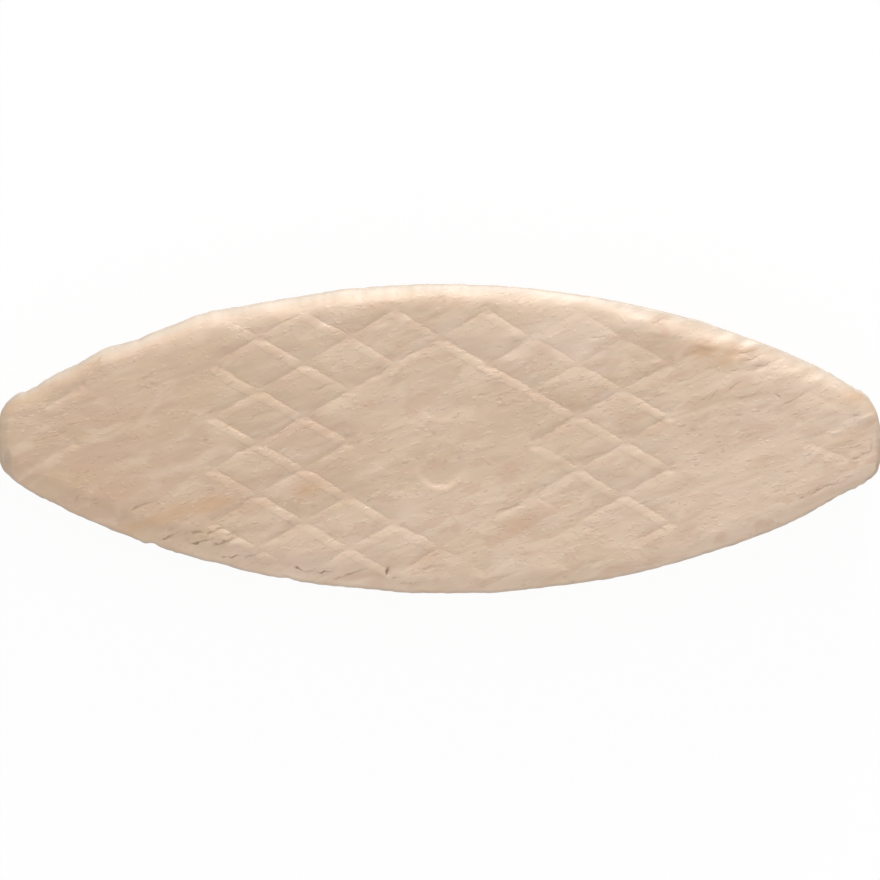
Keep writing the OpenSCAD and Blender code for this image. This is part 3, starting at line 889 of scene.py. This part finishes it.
def makeBeech():
    # the colour is layers over the wood's own tint, and the bump is the fine relief
    material = bpy.data.materials.new("pressedBeech")
    material.use_nodes = True
    tree = material.node_tree
    shader = tree.nodes["Principled BSDF"]
    place = woodPlace(tree)
    shown = woodPatterns(tree, place)
    inward = attributeOf(tree, "inward")

    # a tear's line, a little ragged, and the painted shade on its wall
    strays = product(tree, mathOf(tree, "SUBTRACT", shown["ragged"], 0.5), 2 * beech["raggedness"])
    above = mathOf(tree, "ADD", attributeOf(tree, "tearLine"), strays)
    torn = attributeOf(tree, "tearShare")
    wider = product(tree, torn, beech["deepTearShade"])
    tearShadeMask = mathOf(tree, "SUBTRACT", mathOf(tree, "ABSOLUTE", above), wider)
    tearShadeMask = product(tree, rangeOf(tree, tearShadeMask, 0.0, beech["tearShadeWidth"], 1.0, 0.0), torn)

    # the colour, from the wood's own tint up to the marks that lie over everything
    shares = beech["shares"]
    crestHighlight = attributeOf(tree, "crestHighlight")
    outerHighlight = product(tree, crestHighlight, rangeOf(tree, inward, *beech["highlightWidth"], 1.0, 0.0))
    # a darker grey line along the outline, uneven along its length
    wornEdgeAndGreyLine = mathOf(tree, "ADD", product(tree, shown["lineUnevenness"], shares["lineUnevenness"]), shares["rim"])
    wornEdgeAndGreyLine = product(tree, rangeOf(tree, inward, *beech["rimWidth"], 1.0, 0.0), wornEdgeAndGreyLine)
    layers = [
        (product(tree, attributeOf(tree, "tone"), shares["tone"]), "pale"),
        (product(tree, shown["mottle"], shares["mottle"]), "pale"),
        (product(tree, shown["streak"], shares["streak"]), "streak"),
        (product(tree, shown["patch"], shares["patch"]), "blush"),
        # brown clouds of the wood, with some clouds of painted shade among them
        (product(tree, attributeOf(tree, "cloudAndShade"), shares["cloudAndShade"]), "cloudAndShade"),
        # pale places of the wood, with some painted highlights among them
        (attributeOf(tree, "paleCloudAndHighlight"), "pale"),
        # painted highlight on slopes that face the key lamp, greyer on their outer part as a painted
        # sheen
        (product(tree, crestHighlight, shares["crestHighlight"]), "pale"),
        (product(tree, outerHighlight, shares["outerHighlight"]), "crestHighlight"),
        # beech's own pale and dark flecks, with painted highlight on flecks that stand up and painted
        # shade in sunken ones
        (product(tree, shown["raised"], shares["raised"]), "pale"),
        (product(tree, shown["sunken"], shares["sunken"]), "fleckAndShade"),
        (product(tree, shown["speck"], shares["speck"]), "fleckAndShade"),
        (product(tree, shown["bare"], shares["bare"]), "streak"),
        (wornEdgeAndGreyLine, "rim"),
        # end grain at the tips, with painted shade on their lower halves
        (attributeOf(tree, "endGrainAndShade"), "endGrainAndShade"),
        # painted shade on each tear's wall
        (tearShadeMask, "tearShade"),
    ]
    colour = mixColour(tree, shown["tint"], beech["pink"], beech["yellow"])
    for share, name in layers:
        colour = mixColour(tree, share, colour, beech[name])
    tree.links.new(colour, shader.inputs["Base Color"])
    shader.inputs["Roughness"].default_value = beech["roughness"]
    shader.inputs["Specular IOR Level"].default_value = 0.5

    # the fine relief: flecks, fibres and chips, weaker on the rim, then the tears' steps and the
    # creases along the pressed lines
    fibre = grainNoise(tree, place, *beech["fibre"])
    flecks = mathOf(tree, "SUBTRACT", shown["raised"], shown["sunken"])
    height = product(tree, flecks, beech["fleckRelief"] * mm)
    height = mathOf(tree, "ADD", height, product(tree, fibre, beech["fibreRelief"] * mm))
    height = mathOf(tree, "ADD", height, product(tree, shown["chip"], beech["chipRelief"] * mm))
    offRim = rangeOf(tree, inward, *beech["reliefWidth"], beech["rimRelief"], 1.0)
    height = product(tree, height, offRim)
    step = rangeOf(tree, above, -beech["tearStep"], beech["tearStep"], 1.0, 0.0)
    slope = rangeOf(tree, above, -beech["tearSlope"], 0.0)
    dropped = product(tree, step, slope, torn, -beech["tearRelief"] * mm)
    height = mathOf(tree, "ADD", height, dropped)
    for kind in ("rise", "fall"):
        away = mathOf(tree, "ABSOLUTE", mathOf(tree, "ADD", attributeOf(tree, kind + "Line"), strays))
        notch = rangeOf(tree, away, 0.0, beech["creaseWidth"], 1.0, 0.0)
        notch = product(tree, notch, attributeOf(tree, kind + "Share"), -beech["creaseRelief"] * mm)
        height = mathOf(tree, "ADD", height, notch)
    bump = addNode(tree, "ShaderNodeBump", {"Height": height, "Strength": 1.0, "Distance": 1.0})
    tree.links.new(bump.outputs["Normal"], shader.inputs["Normal"])
    return material


mesh.materials.append(makeBeech())
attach(biscuit, "root")
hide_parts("biscuit")
print("beech applied")

# The photograph's view: straight down, with the length filling the picture's width
view = {
    "pictureWidth": 880,
    "pixelsPerMm": 16.604,
    "centrePixelY": 438.5,
    "lens": 200.0,           # millimetres, as is the sensor
    "sensor": 36.0,
    "clip": (0.01, 10),      # metres
}

# Lamps: name, azimuth and height in degrees, distance, size in metres, brightness on a facing sheet
lamps = [
    ("key", 83.0, 11.0, 0.55, 0.14, 0.92),
    ("fill", 266.0, 42.0, 0.55, 0.50, 0.24),
]
ambient = 0.66               # strength of the world's light on the biscuit
floorShade = 0.07            # how much of the floor's own shading shows in its white
tableHalf = 2.0              # metres from the middle to each side of the table


def addCamera():
    # looks straight down, from a distance of the width seen times the lens over the sensor
    scene = bpy.context.scene
    data = bpy.data.cameras.new("camera")
    data.lens, data.sensor_width = view["lens"], view["sensor"]
    data.clip_start, data.clip_end = view["clip"]
    widthSeen = view["pictureWidth"] / view["pixelsPerMm"] * mm
    distance = widthSeen * view["lens"] / view["sensor"]
    camera = bpy.data.objects.new("camera", data)
    middle = view["pictureWidth"] / 2
    shift = (view["centrePixelY"] - middle) / view["pixelsPerMm"] * mm
    camera.location = (0, shift, blank["thickness"] / 2 * mm + distance)
    scene.collection.objects.link(camera)
    scene.camera = camera


def addLamps():
    # round lamps that face the biscuit. Their energy grows with the distance squared, so that the
    # brightness stays as given
    for name, azimuth, height, distance, size, brightness in lamps:
        data = bpy.data.lights.new(name, "AREA")
        data.shape, data.size = "DISK", size
        data.energy = brightness * math.pi ** 2 * distance ** 2
        lamp = bpy.data.objects.new(name, data)
        turn, lift = math.radians(azimuth), math.radians(height)
        lamp.location = distance * Vector((
            math.cos(turn) * math.cos(lift), math.sin(turn) * math.cos(lift), math.sin(lift)))
        lamp.rotation_euler = (-lamp.location).to_track_quat("-Z", "Y").to_euler()
        bpy.context.scene.collection.objects.link(lamp)


def addWorld():
    # white where it is seen or mirrored, and weaker as light
    world = bpy.data.worlds.new("studio")
    world.use_nodes = True
    tree = world.node_tree
    background = tree.nodes["Background"]
    paths = addNode(tree, "ShaderNodeLightPath")
    seen = mathOf(tree, "MAXIMUM", paths.outputs["Is Camera Ray"], paths.outputs["Is Glossy Ray"])
    strength = rangeOf(tree, seen, 0.0, 1.0, ambient, 1.0)
    tree.links.new(strength, background.inputs["Strength"])
    background.inputs["Color"].default_value = (1, 1, 1, 1)
    bpy.context.scene.world = world


def addFloor():
    # a flat square that glows white to the camera, with a little of its own shading
    half = tableHalf
    data = bpy.data.meshes.new("table")
    corners = [(-half, -half, 0), (half, -half, 0), (half, half, 0), (-half, half, 0)]
    data.from_pydata(corners, [], [(0, 1, 2, 3)])
    table = bpy.data.objects.new("table", data)
    bpy.context.scene.collection.objects.link(table)
    material = bpy.data.materials.new("whiteTable")
    material.use_nodes = True
    tree = material.node_tree
    tree.nodes.remove(tree.nodes["Principled BSDF"])
    diffuse = addNode(tree, "ShaderNodeBsdfDiffuse", {"Color": (1, 1, 1, 1)})
    glow = addNode(tree, "ShaderNodeEmission", {"Color": (1, 1, 1, 1), "Strength": 1.0})
    paths = addNode(tree, "ShaderNodeLightPath")
    share = mathOf(tree, "MULTIPLY", paths.outputs["Is Camera Ray"], 1 - floorShade)
    mix = addNode(tree, "ShaderNodeMixShader", {
        "Fac": share, 1: diffuse.outputs["BSDF"], 2: glow.outputs["Emission"],
    })
    tree.links.new(mix.outputs["Shader"], tree.nodes["Material Output"].inputs["Surface"])
    data.materials.append(material)


addCamera()
addLamps()
addWorld()
addFloor()
bpy.context.scene.view_settings.view_transform = "Standard"
print("studio set")
